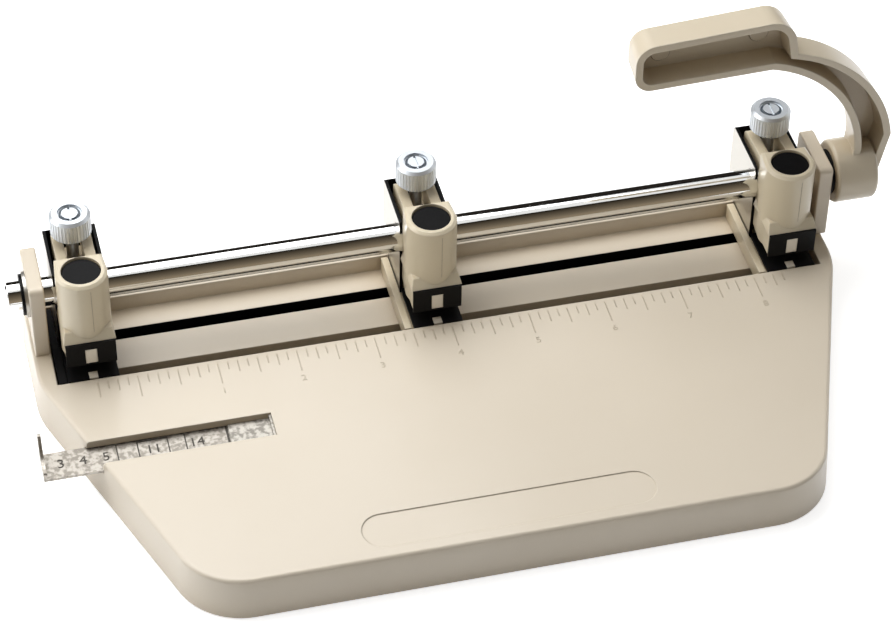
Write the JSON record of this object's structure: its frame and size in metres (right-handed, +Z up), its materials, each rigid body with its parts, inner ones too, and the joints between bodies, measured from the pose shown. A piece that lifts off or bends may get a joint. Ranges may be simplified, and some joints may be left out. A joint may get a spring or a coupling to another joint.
{
  "type": "hole punch",
  "caption": "Adjustable desk hole punch: cast paper table, sliding punch heads on a chromed shaft, hooked swing lever and a pull-out edge gauge.",
  "frame": {"origin": "on the table, under the middle of the punch's overall box", "axes": "+X along the operating shaft towards the lever, +Y from the user to the back, +Z up"},
  "size_m": [0.2897, 0.1377, 0.1045],
  "materials": {
    "base_paint": "satin",
    "tan_casting": "satin",
    "frame_steel": "plated",
    "black_steel": "satin",
    "steel": "machined",
    "spring_steel": "drawn",
    "knurled_steel": "knurled, plated",
    "chrome": "polished",
    "cap_plastic": "moulded",
    "tray_plastic": "moulded",
    "rubber": "moulded",
    "gauge_aluminium": "rolled"
  },
  "bodies": {
    "base": {"base_casting": "base_paint", "rubber_feet": "rubber", "left_ear": "base_paint", "right_ear": "base_paint", "ear_screws": "steel", "gauge_clip": "frame_steel"},
    "lever_shaft": {"operating_shaft": "chrome", "thrust_washer": "steel", "retaining_ring": "steel", "lever_washer": "steel", "lever": "base_paint", "lever_pin": "steel"},
    "gauge": {"gauge_strip": "gauge_aluminium"},
    "tray": {"chip_tray": "tray_plastic"},
    "left_head": {"left_head_casting": "tan_casting", "left_head_frame": "frame_steel", "left_throat_plate": "black_steel", "left_die_carrier": "tan_casting", "left_die_plate": "black_steel", "left_clamp_hook": "black_steel", "left_return_spring": "spring_steel", "left_punch_cap": "cap_plastic"},
    "left_punch": {"left_plunger": "steel", "left_punch_pin": "steel"},
    "left_cam": {"left_shaft_cam": "steel"},
    "left_clamp_screw": {"left_thumb_screw": "knurled_steel"},
    "middle_head": {"middle_head_casting": "tan_casting", "middle_head_frame": "frame_steel", "middle_throat_plate": "black_steel", "middle_die_carrier": "tan_casting", "middle_die_plate": "black_steel", "middle_clamp_hook": "black_steel", "middle_return_spring": "spring_steel", "middle_punch_cap": "cap_plastic"},
    "middle_punch": {"middle_plunger": "steel", "middle_punch_pin": "steel"},
    "middle_cam": {"middle_shaft_cam": "steel"},
    "middle_clamp_screw": {"middle_thumb_screw": "knurled_steel"},
    "right_head": {"right_head_casting": "tan_casting", "right_head_frame": "frame_steel", "right_throat_plate": "black_steel", "right_die_carrier": "tan_casting", "right_die_plate": "black_steel", "right_clamp_hook": "black_steel", "right_return_spring": "spring_steel", "right_punch_cap": "cap_plastic"},
    "right_punch": {"right_plunger": "steel", "right_punch_pin": "steel"},
    "right_cam": {"right_shaft_cam": "steel"},
    "right_clamp_screw": {"right_thumb_screw": "knurled_steel"}
  },
  "joints": [
    {"name": "lever_swing", "type": "hinge", "parent": "base", "child": "lever_shaft", "pos_m": [0, 0.0482, 0.0356], "axis": [1, 0, 0], "range_deg": [0, 56], "stiffness_Nm_per_rad": 0.3, "springref_deg": -20.05},
    {"name": "gauge_slide", "type": "slide", "parent": "base", "child": "gauge", "axis": [-1, 0, 0], "range_m": [0, 0.04]},
    {"name": "tray_drop", "type": "slide", "parent": "base", "child": "tray", "axis": [0, 0, -1], "range_m": [0, 0.02]},
    {"name": "left_head_slide", "type": "slide", "parent": "base", "child": "left_head", "axis": [1, 0, 0], "range_m": [0, 0.045]},
    {"name": "left_punch_stroke", "type": "slide", "parent": "left_head", "child": "left_punch", "axis": [0, 0, -1], "range_m": [0, 0.00784], "deforming": ["left_return_spring"]},
    {"name": "left_cam_turn", "type": "hinge", "parent": "left_head", "child": "left_cam", "pos_m": [-0.1214, 0.0482, 0.0356], "axis": [1, 0, 0], "range_deg": [0, 56.1]},
    {"name": "left_clamp_turn", "type": "hinge", "parent": "left_head", "child": "left_clamp_screw", "pos_m": [-0.1214, 0.0587, 0.05], "axis": [0, 0, 1], "continuous": true},
    {"name": "middle_head_slide", "type": "slide", "parent": "base", "child": "middle_head", "axis": [1, 0, 0], "range_m": [-0.04, 0.04]},
    {"name": "middle_punch_stroke", "type": "slide", "parent": "middle_head", "child": "middle_punch", "axis": [0, 0, -1], "range_m": [0, 0.00784], "deforming": ["middle_return_spring"]},
    {"name": "middle_cam_turn", "type": "hinge", "parent": "middle_head", "child": "middle_cam", "pos_m": [-0.0103, 0.0482, 0.0356], "axis": [1, 0, 0], "range_deg": [0, 56.1]},
    {"name": "middle_clamp_turn", "type": "hinge", "parent": "middle_head", "child": "middle_clamp_screw", "pos_m": [-0.0103, 0.0587, 0.05], "axis": [0, 0, 1], "continuous": true},
    {"name": "right_head_slide", "type": "slide", "parent": "base", "child": "right_head", "axis": [1, 0, 0], "range_m": [-0.045, 0]},
    {"name": "right_punch_stroke", "type": "slide", "parent": "right_head", "child": "right_punch", "axis": [0, 0, -1], "range_m": [0, 0.00784], "deforming": ["right_return_spring"]},
    {"name": "right_cam_turn", "type": "hinge", "parent": "right_head", "child": "right_cam", "pos_m": [0.1087, 0.0482, 0.0356], "axis": [1, 0, 0], "range_deg": [0, 56.1]},
    {"name": "right_clamp_turn", "type": "hinge", "parent": "right_head", "child": "right_clamp_screw", "pos_m": [0.1087, 0.0587, 0.05], "axis": [0, 0, 1], "continuous": true}
  ],
  "couplings": [
    {"joint": "left_punch_stroke", "follows": "lever_swing", "m_per_rad": 0.007974},
    {"joint": "left_cam_turn", "follows": "lever_swing", "ratio": 1},
    {"joint": "middle_punch_stroke", "follows": "lever_swing", "m_per_rad": 0.007974},
    {"joint": "middle_cam_turn", "follows": "lever_swing", "ratio": 1},
    {"joint": "right_punch_stroke", "follows": "lever_swing", "m_per_rad": 0.007974},
    {"joint": "right_cam_turn", "follows": "lever_swing", "ratio": 1}
  ]
}
